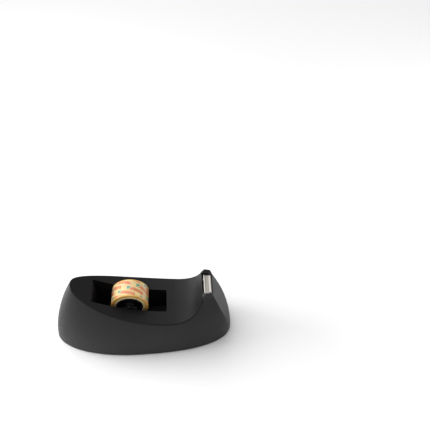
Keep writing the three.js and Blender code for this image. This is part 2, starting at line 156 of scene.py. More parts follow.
class Finishes(bpy.types.PropertyGroup):
    """Colours of the pieces."""
    side: colour("Side", "Side wall", (0.0195, 0.0185, 0.0200))
    deck: colour("Deck", "Top plate", (0.0078, 0.0075, 0.0080))
    inner: colour("Inner", "Well and other inner mouldings", (0.012, 0.012, 0.012))
    hub: colour("Hub", "Hub", (0.014, 0.014, 0.015))
    steel: colour("Steel", "Cutting strip", (0.46, 0.435, 0.40))
    film: colour("Film", "Wound film over the printed core", (0.80, 0.62, 0.30))
    edge: colour("Edge", "Wound film seen from the side", (0.72, 0.42, 0.11))
    print_warm: colour("Warm print", "Long printed bars", (0.70, 0.15, 0.07))
    print_cool: colour("Cool print", "Short printed marks", (0.10, 0.36, 0.31))
    board: colour("Board", "Paperboard core", (0.78, 0.62, 0.33))


class StageSettings(bpy.types.PropertyGroup):
    """Floor, light and camera."""
    lens: FloatProperty(name="Lens", description="Focal length on a 36 mm sensor",
                        default=41.45, unit="CAMERA")
    camera_place: FloatVectorProperty(name="Camera place", description="Where the camera stands",
                                      default=(0.05455, -0.2856, 0.4586), subtype="TRANSLATION")
    camera_turn: FloatVectorProperty(name="Camera turn", description="Tilt, roll and heading",
                                     subtype="EULER",
                                     default=(math.radians(44.09), 0.0, math.radians(-3.96)))
    sky: FloatProperty(name="Sky", description="Strength of the light at the horizon",
                       default=0.26)
    sky_top: FloatProperty(name="Sky top", description="Further strength straight above",
                           default=1.9)
    sky_from: FloatVectorProperty(name="Sky from", description="Where the sky is brightest",
                                  default=(-0.42, 0.38, 0.82), subtype="DIRECTION")
    sky_power: FloatProperty(name="Sky power", description="How closely it gathers overhead",
                             default=3.0)
    side_light: FloatProperty(name="Side light", description="Power that each side light has a share of",
                              default=3.0, unit="POWER")


# ---------- the body's and the deck's shapes ----------

CREASE_POWER = (24, 1.5e6)       # crease of side and nose face: at the table, per height cubed
NOSE_STRAIGHT_FROM = 0.0646      # above this height the front half's oval stays as it is here
NOSE_STRAIGHT_EASE = 0.0024      # how gently that sets in
REAR_SQUARENESS = (2.06, 8.7)    # at the table, and added per height
FRONT_SQUARENESS = (2.55, -7.6)
WIDEST_FROM_SLOT = 0.03993       # widest place, from the slot's rear end
CREASE_LEAST = 0.3               # radians
CREASE_SHARE = 0.2               # of the way round from the nose's middle to the rear
TOP_ROWS = 5                     # rows of points across the wall's upper edge
RIM_SUPPORT = 0.0012             # the evenly spread rows start this far below the rim
INNER_DROP = 0.0019              # the same, inside the wall
HEIGHT_WEIGHT = 9.0              # radians per metre, for spreading the columns round the foot
CHEEK_FROM = 0.0012              # the cheeks begin this far past the groove
BISECTIONS = 40

CREST_START = (0.0419, 0.104)    # deck profile: behind the slot's rear end, and height
CREST_PULL = (0.0099, 0.0438)    # ahead of the slot's rear end, and height
VALLEY = (0.009, 0.043)          # ahead of the slot's front end, and height
VALLEY_PULL = 0.0022
RAMP_PULL = 0.0208
RAMP_TOP = (0.0361, 0.06646)
RAMP_STEEPNESS = 1.07            # radians, at the groove
RAMP_END_PULL = 0.00544


class BodyShape:
    """At each height a superellipse whose two halves differ, held back by a raked nose plane."""

    def __init__(self, sizes, slot_rear):
        self.half_length = -SHELL_LOW.x + sizes.rear_lean * SHELL_LOW.z
        self.half_width = SHELL_HIGH.y + sizes.side_taper * SHELL_LOW.z ** 2
        self.middle = slot_rear + WIDEST_FROM_SLOT
        self.sizes = sizes

    def reaches(self, z, inset, at_front):
        """Distances from the middle to the oval's end, the nose plane and the side, and the
        superellipse's exponent, for the half that at_front tells."""
        s = self.sizes
        eased = (z + NOSE_STRAIGHT_FROM - np.hypot(z - NOSE_STRAIGHT_FROM, NOSE_STRAIGHT_EASE)) / 2
        level = np.where(at_front, eased, z)
        rear = self.middle + self.half_length - s.rear_lean * z - s.rear_curve * z * z - inset
        front = (self.half_length + s.oval_past + s.oval_lean * level
                 - s.rear_curve * level ** 2 - self.middle - inset)
        face = (self.half_length + s.nose_past - s.nose_rake * z - self.middle
                - inset * math.hypot(1, s.nose_rake))
        side = self.half_width - s.side_taper * level ** 2 - inset
        power = np.where(at_front, FRONT_SQUARENESS[0] + FRONT_SQUARENESS[1] * level,
                         REAR_SQUARENESS[0] + REAR_SQUARENESS[1] * level)
        return np.where(at_front, front, rear), face, side, power

    def crease(self, z):
        """The power of the mean that blends the oval with the nose plane."""
        return CREASE_POWER[0] + CREASE_POWER[1] * np.maximum(z, 0.0) ** 3

    def radii(self, turn, z, inset):
        """The oval's and the nose plane's inverse radii at a turn, with reach and side."""
        cos, sin = np.cos(turn), np.sin(turn)
        reach, face, side, power = self.reaches(z, inset, cos >= 0)
        oval = (np.abs(cos) ** power + np.abs(sin) ** power) ** (1 / power)
        return oval, np.maximum(0, reach * cos / face), reach, side

    def point(self, turn, z, inset=0.0):
        """Surface point: (middle + k a cos t, k w sin t), with k from the power mean of the
        oval's radius and the nose plane's."""
        turn, z, inset = np.broadcast_arrays(turn, z, inset)
        oval, nose, reach, side = self.radii(turn, z, inset)
        power = self.crease(z)
        scale = (oval ** power + nose ** power) ** (-1 / power)
        return np.stack((self.middle + scale * reach * np.cos(turn), scale * side * np.sin(turn),
                         z + 0 * turn), -1)

    def half_breadth(self, x, z):
        """Half the body's breadth at x and height z: the same formula solved for y."""
        along = x - self.middle
        reach, face, side, power = self.reaches(z, 0.0, along >= 0)
        crease = self.crease(z)
        oval = (1 - np.clip(along / face, 0, 1) ** crease) ** (1 / crease)
        left = np.clip(oval ** power - np.clip(np.abs(along) / reach, 0, 1) ** power, 0, None)
        return side * left ** (1 / power)

    def turn_at(self, x, z):
        """The turn whose surface point has this x, on the far side."""
        along = x - self.middle
        reach, _, side, _ = self.reaches(z, 0.0, along >= 0)
        return np.arctan2(self.half_breadth(x, z) / side, along / reach)

    def crease_turn(self, z):
        """The turn of the crease between side and nose face, by bisection. Near the table,
        where the crease dies away, it is kept from falling under CREASE_LEAST."""
        z = np.asarray(z, float)
        low, high = np.zeros(z.shape), np.full(z.shape, math.pi / 2)
        for _ in range(BISECTIONS):
            middle = (low + high) / 2
            oval, nose, _, _ = self.radii(middle, z, 0.0)
            low, high = np.where(nose > oval, middle, low), np.where(nose > oval, high, middle)
        return (low + CREASE_LEAST + np.hypot(low - CREASE_LEAST, 0.05)) / 2

    def share_of(self, turn, z):
        """A turn as a share of the way round, with the crease always at CREASE_SHARE."""
        crease = self.crease_turn(z)
        return np.where(turn < crease, turn / crease * CREASE_SHARE,
                        CREASE_SHARE + (turn - crease) / (math.pi - crease) * (1 - CREASE_SHARE))

    def turn_of(self, share, z):
        """The turn for such a share."""
        crease = self.crease_turn(z)
        return np.where(share < CREASE_SHARE, share / CREASE_SHARE * crease,
                        crease + (share - CREASE_SHARE) / (1 - CREASE_SHARE) * (math.pi - crease))

    def turn_at_breadth(self, y, z):
        """The turn on the nose whose surface point lies y from the middle plane, by bisection."""
        low, high = np.zeros(np.shape(z)), np.full(np.shape(z), math.pi / 2)
        for _ in range(BISECTIONS):
            middle = (low + high) / 2
            short = self.point(middle, z)[..., 1] < y
            low, high = np.where(short, middle, low), np.where(short, high, middle)
        return (low + high) / 2

    def rear_edge(self, z):
        """x of the rearmost point at height z."""
        return self.middle - self.reaches(z, 0.0, False)[0]


def bezier(points, count):
    """Cubic curve: the sum of the four points weighted by the Bernstein polynomials."""
    t = np.linspace(0, 1, count)[:, None]
    a, b, c, d = np.array(points)
    return (1 - t) ** 3 * a + 3 * (1 - t) ** 2 * t * b + 3 * (1 - t) * t * t * c + t ** 3 * d


class DeckProfile:
    """The deck's side view, from the rear crest down to the valley and up to the groove."""

    SAMPLES = 1500

    def __init__(self, slot_rear, slot_front):
        self.groove = slot_front + RAMP_TOP[0]
        self.groove_z = RAMP_TOP[1]
        self.steep = steep = RAMP_STEEPNESS
        valley = (slot_front + VALLEY[0], VALLEY[1])
        rear = bezier([(slot_rear - CREST_START[0], CREST_START[1]),
                       (slot_rear + CREST_PULL[0], CREST_PULL[1]),
                       (valley[0] - VALLEY_PULL, valley[1]), valley], self.SAMPLES)
        top = (self.groove, self.groove_z)
        ramp = bezier([valley, (valley[0] + RAMP_PULL, valley[1]),
                       (top[0] - RAMP_END_PULL * math.cos(steep),
                        top[1] - RAMP_END_PULL * math.sin(steep)), top], self.SAMPLES)
        beyond = np.array(top) + np.array([[math.cos(steep), math.sin(steep)]]) * 0.004
        line = np.vstack((rear, ramp[1:], beyond))
        step = np.gradient(line, axis=0)
        step /= np.linalg.norm(step, axis=1)[:, None]
        self.x, self.z = line.T
        self.down_x, self.down_z = step[:, 1], -step[:, 0]
        self.run = np.concatenate(([0], np.cumsum(np.hypot(*np.diff(line, axis=0).T))))

    def at(self, run, depth=0.0):
        """x and z at a distance along the profile, depth under the top surface."""
        x = np.interp(run, self.run, self.x) + depth * np.interp(run, self.run, self.down_x)
        z = np.interp(run, self.run, self.z) + depth * np.interp(run, self.run, self.down_z)
        return x, z

    def run_at(self, x, depth=0.0):
        """Distance along the profile to where the line depth under it reaches x."""
        return np.interp(x, self.x + depth * self.down_x, self.run)

    def rear_run(self, body, depth=0.0):
        """Distance along the profile to where it leaves the body at the rear crest."""
        x, z = self.at(self.run, depth)
        ahead = x - body.rear_edge(z)
        part = self.x < body.middle
        return np.interp(0, ahead[part], self.run[part])


def shapes(scene):
    """The body's shape and the deck's profile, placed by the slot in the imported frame."""
    wall = WELL_HIGH.y - CRADLE_HIGH.y - FIT_GAP
    slot_rear, slot_front = WELL_LOW.x + wall, WELL_HIGH.x - wall
    slot_half = WELL_HIGH.y - wall
    body = BodyShape(scene.dispenser_body, slot_rear)
    return body, DeckProfile(slot_rear, slot_front), (slot_rear, slot_front, slot_half)


# ---------- mesh helpers ----------

def grid_faces(rows, columns, wrap_rows=False, wrap_columns=False):
    """Quads of a grid of points numbered row by row, as one whole array."""
    r = np.arange(rows if wrap_rows else rows - 1)[:, None]
    c = np.arange(columns if wrap_columns else columns - 1)[None, :]
    r1, c1 = (r + 1) % rows, (c + 1) % columns
    quads = (r * columns + c, r * columns + c1, r1 * columns + c1, r1 * columns + c)
    return np.stack(np.broadcast_arrays(*quads), -1).reshape(-1, 4)


def join(*parts):
    """Several (points, faces) into one."""
    points, faces, start = [], [], 0
    for part_points, part_faces in parts:
        points.append(part_points.reshape(-1, 3))
        faces.append(part_faces + start)
        start += len(points[-1])
    return np.vstack(points), np.vstack(faces)


def make_piece(name, points, faces, body, material, replaced=(), uv=None):
    """A smooth mesh object from arrays, its doubles merged and its faces turned outwards."""
    mesh = bpy.data.meshes.new(name)
    points = points.reshape(-1, 3)
    mesh.from_pydata(points.tolist(), [], faces.tolist())
    if uv is not None:
        layer = mesh.uv_layers.new(name="wrap")
        layer.data.foreach_set("uv", uv.reshape(-1, 2)[faces.reshape(-1)].ravel())
    work = bmesh.new()
    work.from_mesh(mesh)
    bmesh.ops.remove_doubles(work, verts=work.verts, dist=SMALL)
    bmesh.ops.recalc_face_normals(work, faces=work.faces)
    work.to_mesh(mesh)
    work.free()
    mesh.polygons.foreach_set("use_smooth", np.ones(len(mesh.polygons), bool))
    mesh.set_sharp_from_angle(angle=math.radians(40))
    mesh.materials.append(material)
    piece = bpy.data.objects.new(name, mesh)
    bpy.context.scene.collection.objects.link(piece)
    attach(piece, body)
    if replaced:
        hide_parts(*replaced)
    return piece


def mirrored(half):
    """A closed row of points from its far half, which starts and ends on the middle plane."""
    other = half[..., -2:0:-1, :] * np.array([1, -1, 1])
    return np.concatenate((half, other), axis=-2)


def revolve(outline, sides=128):
    """A closed outline of (radius, y) carried round the axle: (r sin t, y, r cos t)."""
    turn = np.linspace(0, 2 * math.pi, sides, endpoint=False)[None, :]
    radius, y = np.array(outline)[:, 0, None], np.array(outline)[:, 1, None]
    points = np.stack(np.broadcast_arrays(AXLE_X + radius * np.sin(turn), y,
                                          AXLE_Z + radius * np.cos(turn)), -1)
    return points, grid_faces(len(outline), sides, wrap_rows=True, wrap_columns=True)


def rounded(outline, radius, steps=4):
    """A closed outline with each corner swept by an arc: the corner's weights run from one
    tangent point to the other as a quadratic curve."""
    outline = np.array(outline, float)
    before, after = np.roll(outline, 1, axis=0), np.roll(outline, -1, axis=0)
    t = np.linspace(0, 1, steps)[:, None]
    result = []
    for corner, one, two in zip(outline, before, after):
        to_one, to_two = one - corner, two - corner
        start = corner + to_one * min(0.45, radius / max(np.linalg.norm(to_one), SMALL))
        end = corner + to_two * min(0.45, radius / max(np.linalg.norm(to_two), SMALL))
        result.append((1 - t) ** 2 * start + 2 * (1 - t) * t * corner + t ** 2 * end)
    return np.vstack(result)


# ---------- materials ----------

PLASTIC_SHINE = 0.2
FILM_DEPTH = 0.003               # how far light travels inside the film
PAINTED_SHADE_EDGE = 0.0004               # how softly the painted shade on the cutter's channel begins
# painted shade: how much darker the cutter's channel is painted
PAINTED_SHADE_TINT = 0.6
ROW_PITCH = 0.0057               # from one printed row to the next, across the tape
ROWS_A_TURN = 5
ROW_SHIFT = 0.4
PRINT_SLANT = 0.26               # how far the print leans, in repeats per row
PRINT_START = 0.35               # where the print begins round the roll, in repeats


def add(tree, kind, inputs=None, **settings):
    """A node with its settings and its inputs, each a value or another node's output."""
    node = tree.nodes.new(kind)
    for key, value in settings.items():
        setattr(node, key, value)
    for key, value in (inputs or {}).items():
        if isinstance(value, bpy.types.NodeSocket):
            tree.links.new(value, node.inputs[key])
        else:
            node.inputs[key].default_value = value
    return node


def math_node(tree, operation, a, b=0.0, c=0.0):
    """The result of one Math node."""
    return add(tree, "ShaderNodeMath", {0: a, 1: b, 2: c}, operation=operation).outputs[0]


def mix_colour(tree, factor, a, b):
    """Colour a turned into b by the factor."""
    node = add(tree, "ShaderNodeMix", data_type="RGBA")
    for socket, value in ((node.inputs[0], factor), (node.inputs[6], a), (node.inputs[7], b)):
        if isinstance(value, bpy.types.NodeSocket):
            tree.links.new(value, socket)
        else:
            socket.default_value = value
    return node.outputs[2]


def spread(tree, value, low, high):
    """A noise value between 0.3 and 0.7 stretched to run from low to high."""
    return add(tree, "ShaderNodeMapRange",
               {"Value": value, "From Min": 0.3, "From Max": 0.7,
                "To Min": low, "To Max": high}).outputs["Result"]


def between(tree, value, low, high, soft):
    """1 where the value lies between low and high, with soft edges."""
    rise = add(tree, "ShaderNodeMapRange", {"Value": value, "From Min": low - soft,
                                            "From Max": low + soft}).outputs["Result"]
    fall = add(tree, "ShaderNodeMapRange", {"Value": value, "From Min": high - soft,
                                            "From Max": high + soft, "To Min": 1.0,
                                            "To Max": 0.0}).outputs["Result"]
    return math_node(tree, "MULTIPLY", rise, fall)


def noise(tree, place, scale, detail=3.0, rough=0.5):
    """Noise on the piece's own coordinates."""
    return add(tree, "ShaderNodeTexNoise",
               {"Vector": place, "Scale": scale, "Detail": detail, "Roughness": rough}
               ).outputs["Fac"]


def object_place(tree, scale=(1, 1, 1)):
    """The piece's own coordinates, stretched along each axis."""
    place = add(tree, "ShaderNodeTexCoord").outputs["Object"]
    return add(tree, "ShaderNodeMapping", {"Vector": place, "Scale": scale}).outputs["Vector"]


def new_material(name):
    """A material with one Principled shader; gives the material, its tree and the shader."""
    material = bpy.data.materials.new(name)
    material.use_nodes = True
    tree = material.node_tree
    return material, tree, tree.nodes["Principled BSDF"]


def tint(base, factor):
    """A colour made darker or lighter, with its alpha."""
    return tuple(min(1.0, c * factor) for c in base) + (1.0,)


def moulded_plastic(name, base, rough, grain=1800.0, depth=0.00004):
    """Spark-eroded moulding: fine grain in the bump, and slow drifts in colour and gloss."""
    material, tree, shader = new_material(name)
    place = object_place(tree)
    drift = noise(tree, place, 22.0, 4.0)
    fine = noise(tree, place, grain, 2.0)
    tree.links.new(mix_colour(tree, spread(tree, drift, 0, 1), tint(base, 0.94),
                              tint(base, 1.06)), shader.inputs["Base Color"])
    tree.links.new(spread(tree, noise(tree, place, 260.0, 4.0), rough - 0.04, rough + 0.04),
                   shader.inputs["Roughness"])
    bump = add(tree, "ShaderNodeBump", {"Height": fine, "Strength": 0.6, "Distance": depth})
    tree.links.new(bump.outputs["Normal"], shader.inputs["Normal"])
    shader.inputs["Specular IOR Level"].default_value = PLASTIC_SHINE
    return material


def brushed_steel(name, base, rough, stretch, scale=2500.0, painted_shade_span=None):
    """Brushed metal: noise drawn out along the brushing, in colour, gloss and bump. When two places
    along X are given, the colour between them is painted darker: painted shade on the channel, so that
    the strip's edges beside it read brighter, as highlights."""
    material, tree, shader = new_material(name)
    lines = noise(tree, object_place(tree, stretch), scale, 3.0)
    colour_out = mix_colour(tree, spread(tree, lines, 0, 1), tint(base, 0.86), tint(base, 1.05))
    # painted shade: darker colour between the two places, a stand-in for the brighter highlights on the
    # strip's edges
    if painted_shade_span:
        along = add(tree, "ShaderNodeSeparateXYZ", {"Vector": object_place(tree)}).outputs["X"]
        colour_out = mix_colour(tree, between(tree, along, *painted_shade_span, PAINTED_SHADE_EDGE), colour_out,
                                tint(base, PAINTED_SHADE_TINT))
    tree.links.new(colour_out, shader.inputs["Base Color"])
    tree.links.new(spread(tree, lines, rough - 0.07, rough + 0.07), shader.inputs["Roughness"])
    bump = add(tree, "ShaderNodeBump", {"Height": lines, "Strength": 0.35, "Distance": 0.00002})
    tree.links.new(bump.outputs["Normal"], shader.inputs["Normal"])
    shader.inputs["Metallic"].default_value = 1.0
    return material


def rough_solid(name, base, rough, scale, depth, metal=0.0):
    """Cast or foamed stuff: pits and lumps from noise."""
    material, tree, shader = new_material(name)
    lumps = noise(tree, object_place(tree), scale, 5.0, 0.65)
    tree.links.new(mix_colour(tree, spread(tree, lumps, 0, 1), tint(base, 0.7),
                              tint(base, 1.25)), shader.inputs["Base Color"])
    bump = add(tree, "ShaderNodeBump", {"Height": lumps, "Strength": 0.8, "Distance": depth})
    tree.links.new(bump.outputs["Normal"], shader.inputs["Normal"])
    shader.inputs["Roughness"].default_value = rough
    shader.inputs["Metallic"].default_value = metal
    return material


def printed_film(name, colours, around, width, phase):
    """Clear film over a printed core. Rows of long bars and short marks climb slowly round the
    roll: the row is the place across the tape plus a share of the place round it, and each row
    starts ROW_SHIFT of a repeat after the last. The sides of the winding show its layers as fine rings.
    The map's first number is the place round the roll, the second the place along its section,
    which is past half the width on the sides."""
    material, tree, shader = new_material(name)
    repeat = around / ROWS_A_TURN
    place = add(tree, "ShaderNodeUVMap", uv_map="wrap").outputs["UV"]
    parts = add(tree, "ShaderNodeSeparateXYZ", {"Vector": place})
    round_it, across = parts.outputs["X"], parts.outputs["Y"]
    level = math_node(tree, "MULTIPLY_ADD", round_it, ROWS_A_TURN / around,
                      math_node(tree, "DIVIDE", across, ROW_PITCH))
    row = math_node(tree, "FLOOR", level)
    in_row = math_node(tree, "SUBTRACT", level, row)
    along = math_node(tree, "SUBTRACT", math_node(tree, "DIVIDE", round_it, repeat),
                      math_node(tree, "MULTIPLY", row, ROW_SHIFT))
    in_repeat = math_node(tree, "FRACT", math_node(tree, "ADD", along, 50.0 + phase))

    slanted = math_node(tree, "MULTIPLY_ADD", in_row, -PRINT_SLANT, in_repeat)
    in_height = between(tree, in_row, 0.18, 0.82, 0.05)
    start = between(tree, slanted, 0.03, 0.9, 0.012)
    bar = math_node(tree, "MULTIPLY", math_node(tree, "MULTIPLY", start, in_height),
                    between(tree, in_repeat, 0.0, 0.76, 0.012))
    mark = math_node(tree, "MULTIPLY", between(tree, slanted, -0.3, -0.012, 0.012),
                     math_node(tree, "MULTIPLY", in_height, between(tree, in_repeat, 0.01, 0.3, 0.01)))
    cloudy = noise(tree, object_place(tree), 160.0, 4.0)
    film = mix_colour(tree, spread(tree, cloudy, 0, 1), tint(colours.film, 0.9),
                      tint(colours.film, 1.08))
    stripe = noise(tree, object_place(tree, (1, 0.05, 1)), 900.0, 2.0)
    warm = mix_colour(tree, spread(tree, stripe, 0, 0.35), tint(colours.print_warm, 1.0),
                      tint(colours.film, 1.0))
    printed = mix_colour(tree, math_node(tree, "MULTIPLY", bar, 0.92), film, warm)
    printed = mix_colour(tree, math_node(tree, "MULTIPLY", mark, 0.95), printed,
                         tint(colours.print_cool, 1.0))
    off_middle = math_node(tree, "ABSOLUTE", across)
    margin = between(tree, off_middle, width / 2 - 0.0009, width, 0.0007)
    face = mix_colour(tree, margin, printed, tint(colours.edge, 1.15))
    rings = noise(tree, add(tree, "ShaderNodeCombineXYZ",
                            {"X": off_middle}).outputs["Vector"], 5200.0, 2.0)
    side = mix_colour(tree, spread(tree, rings, 0, 1), tint(colours.edge, 0.72),
                      tint(colours.edge, 1.3))
    on_side = between(tree, off_middle, width / 2 + 0.0001, 1.0, 0.0001)
    tree.links.new(mix_colour(tree, on_side, face, side), shader.inputs["Base Color"])
    height = math_node(tree, "MULTIPLY", rings, on_side)
    bump = add(tree, "ShaderNodeBump", {"Height": height, "Strength": 0.5, "Distance": 0.00004})
    tree.links.new(bump.outputs["Normal"], shader.inputs["Normal"])
    tree.links.new(spread(tree, cloudy, 0.2, 0.32), shader.inputs["Roughness"])
    shader.inputs["Coat Weight"].default_value = 0.35
    shader.inputs["Coat Roughness"].default_value = 0.12
    shader.inputs["Subsurface Weight"].default_value = 0.6
    shader.inputs["Subsurface Radius"].default_value = (1.0, 0.7, 0.35)
    shader.inputs["Subsurface Scale"].default_value = FILM_DEPTH
    return material


def paperboard(name, base):
    """Wound paperboard: soft fibres and faint layers."""
    material, tree, shader = new_material(name)
    fibres = noise(tree, object_place(tree), 900.0, 5.0, 0.7)
    tree.links.new(mix_colour(tree, spread(tree, fibres, 0, 1), tint(base, 0.85),
                              tint(base, 1.1)), shader.inputs["Base Color"])
    bump = add(tree, "ShaderNodeBump", {"Height": fibres, "Strength": 0.5, "Distance": 0.00005})
    tree.links.new(bump.outputs["Normal"], shader.inputs["Normal"])
    shader.inputs["Roughness"].default_value = 0.8
    return material


def keep_node(node, material):
    """A CAD node that stays as it is, with a finish of its own."""
    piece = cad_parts[node]
    piece.data.materials.clear()
    piece.data.materials.append(material)


# ---------- one operator for each group of pieces ----------

class DISPENSER_OT_side_shell(bpy.types.Operator):
    """Tapered side wall with its nose cheeks"""
    bl_idname = "dispenser.side_shell"
    bl_label = "Side shell"

    def rim(self, body, profile, sizes, depth):
        """The wall's upper edge on the far half, as turn and height: along under the deck, up
        the end of the ramp, along the cheek's crest to the crease, down its bevel to the pocket
        and across the nose. Gives also the number of the crease's point."""
        start = profile.rear_run(body, depth)
        nose_x = profile.groove + FIT_GAP
        end = profile.run_at(nose_x, depth)
        pole = np.linspace(0, 1, 60) ** 2 * 0.25
        run = start + (end - start) * np.concatenate((pole, np.linspace(0.25, 1, 150)[1:]))
        x, z = profile.at(run, depth)
        slope = math.tan(profile.steep)
        foot = profile.groove_z + (nose_x - profile.groove) * slope
        knee = profile.groove + (CHEEK_CREST - profile.groove_z) / slope
        corner = np.array([[nose_x, z[-1]], [nose_x, foot], [knee, CHEEK_CREST],
                           [knee + 0.003, CHEEK_CREST]])
        bends = self.bent(corner, sizes.cheek_round)[1:]
        crease = body.crease_turn(CHEEK_CREST)
        crest_x = bends[-1, 0] + (body.point(crease, CHEEK_CREST)[0] - bends[-1, 0]) * (
            1 - np.linspace(1, 0, 26)[1:] ** 1.6)
        side_x = np.concatenate((x, bends[:, 0], crest_x))
        side_z = np.concatenate((z, bends[:, 1], np.full(len(crest_x), CHEEK_CREST)))
        turns = body.turn_at(side_x, side_z)
        turns[0], turns[-1] = math.pi, crease
        crest_y = body.point(crease, CHEEK_CREST)[1]
        bevel = np.linspace(0, 1, 9)[1:]
        bevel_y = crest_y + (POCKET_HALF - crest_y) * bevel
        bevel_z = np.minimum(CHEEK_CREST,
                             CHEEK_EDGE + (bevel_y - POCKET_HALF) * CHEEK_BEVEL)
        fall_z = np.linspace(CHEEK_EDGE, CARRIER_HIGH.z, 9)[1:]
        beside_y = np.concatenate((bevel_y, np.full(len(fall_z), POCKET_HALF)))
        beside_z = np.concatenate((bevel_z, fall_z))
        beside_turn = body.turn_at_breadth(beside_y, beside_z)
        across = np.linspace(beside_turn[-1], 0, 46)[1:]
        turns = np.concatenate((turns, beside_turn, across))
        heights = np.concatenate((side_z, beside_z, np.full(len(across), CARRIER_HIGH.z)))
        return turns, heights, len(side_x) - 1

    def bent(self, corners, radius):
        """A line through corners, each inner one swept by a quadratic curve."""
        t = np.linspace(0, 1, 9)[:, None]
        parts = [corners[:1]]
        for before, corner, after in zip(corners, corners[1:], corners[2:]):
            to_one, to_two = before - corner, after - corner
            one = corner + to_one * min(0.5, radius / np.linalg.norm(to_one))
            two = corner + to_two * min(0.5, radius / np.linalg.norm(to_two))
            last = parts[-1][-1]
            parts.append(last + (one - last) * np.linspace(0, 1, 5)[1:-1, None])
            parts.append((1 - t) ** 2 * one + 2 * (1 - t) * t * corner + t ** 2 * two)
        return np.vstack(parts)

    def execute(self, context):
        """Each row is the rim's line moved down the surface by a drop and in by an inset; lower
        rows run on to the foot, whose turn grows evenly with the rim's length. Between the two
        the columns are straight in height and share of the way round, so one of them follows
        the crease."""
        scene = context.scene
        sizes, deck = scene.dispenser_body, scene.dispenser_deck
        body, profile, _ = shapes(scene)
        turn, height, crease = self.rim(body, profile, sizes, deck.lip + deck.seam)

        tiny = 1e-5
        by_turn = (body.point(turn + tiny, height) - body.point(turn - tiny, height)) / (2 * tiny)
        by_height = (body.point(turn, height + tiny) - body.point(turn, height - tiny)) / (2 * tiny)
        along = (by_turn * np.gradient(turn)[:, None] + by_height * np.gradient(height)[:, None])
        turn_part = -np.sum(by_height * along, 1)
        height_part = np.sum(by_turn * along, 1)
        size = np.linalg.norm(by_turn * turn_part[:, None] + by_height * height_part[:, None],
                              axis=1)
        turn_part, height_part = turn_part / size, height_part / size
        turn_part[[0, -1]] = 0
        height_part[[0, -1]] = -1

        step = np.abs(np.diff(turn)) + np.abs(np.diff(height)) * HEIGHT_WEIGHT
        gone = np.concatenate(([0], np.cumsum(step)))
        foot_share = np.where(
            gone <= gone[crease], 1 - (1 - CREASE_SHARE) * gone / gone[crease],
            CREASE_SHARE * (gone[-1] - gone) / (gone[-1] - gone[crease]))

        def near_rim(drop, inset):
            """The rim's line, lowered along the surface."""
            return body.point(turn + turn_part * drop, height + height_part * drop, inset)

        def lower(part, drop, foot_z, inset):
            """A row a part of the way from the foot to the lowered rim."""
            high_turn, high_z = turn + turn_part * drop, height + height_part * drop
            high_share = body.share_of(high_turn, high_z)
            z = foot_z + (high_z - foot_z) * part
            return body.point(body.turn_of(foot_share + (high_share - foot_share) * part, z), z,
                              inset)

        foot, edge = sizes.foot_round, sizes.rim_round
        level = np.full(len(turn), sizes.lift)
        foot_turn = body.turn_of(foot_share, level)
        rows = [body.point(foot_turn, level + foot * (1 - math.sin(bend)),
                           foot * (1 - math.cos(bend)))
                for bend in np.linspace(math.pi / 2, 0, 5)]
        rows += [lower(part, RIM_SUPPORT, sizes.lift + foot, 0.0)
                 for part in np.linspace(0, 1, 62)[1:]]
        rows.append(near_rim((RIM_SUPPORT + edge) / 2, 0.0))
        rows += [near_rim(edge * (1 - math.sin(bend)), edge * (1 - math.cos(bend)))
                 for bend in np.linspace(0, math.pi / 2, 5)]
        outer = len(rows)
        rows += [near_rim(0.0, edge + (sizes.wall - 2 * edge) * part)
                 for part in np.linspace(0, 1, TOP_ROWS + 2)[1:-1]]
        rows += [near_rim(edge * (1 - math.sin(bend)), sizes.wall - edge * (1 - math.cos(bend)))
                 for bend in np.linspace(math.pi / 2, 0, 4)]
        rows.append(near_rim(INNER_DROP, sizes.wall))
        rows += [lower(part, INNER_DROP, sizes.lift, sizes.wall)
                 for part in np.linspace(1, 0, 14)[1:]]
        half = np.array(rows)
        on_cheek = (half[..., 0] > profile.groove + CHEEK_FROM) & (half[..., 2] > CHEEK_EDGE - 0.0001)
        inner = half[outer:]
        across_top = inner[:TOP_ROWS]
        share = np.linspace(0, 1, TOP_ROWS + 2)[1:-1, None]
        outside = half[outer - 1]
        thick = (outside[:, 0] > profile.groove + CHEEK_FROM) & (outside[:, 1] > POCKET_HALF)
        filled = outside[:, 1] + (POCKET_HALF - outside[:, 1]) * share
        across_top[..., 1] = np.where(thick, filled, across_top[..., 1])
        below = inner[TOP_ROWS:]
        at_cheek = thick & (below[..., 2] > CARRIER_HIGH.z)
        below[..., 1] = np.where(at_cheek, POCKET_HALF, below[..., 1])
        half[..., 2] = np.where(
            on_cheek, np.minimum(half[..., 2],
                                 CHEEK_EDGE + np.maximum(half[..., 1] - POCKET_HALF, 0)
                                 * CHEEK_BEVEL), half[..., 2])
        points = mirrored(half)
        make_piece("side_wall", points, grid_faces(*points.shape[:2], True, True), "housing",
                   moulded_plastic("charcoal_moulding", scene.dispenser_finish.side, 0.5),
                   ["side_shell"])
        return {"FINISHED"}


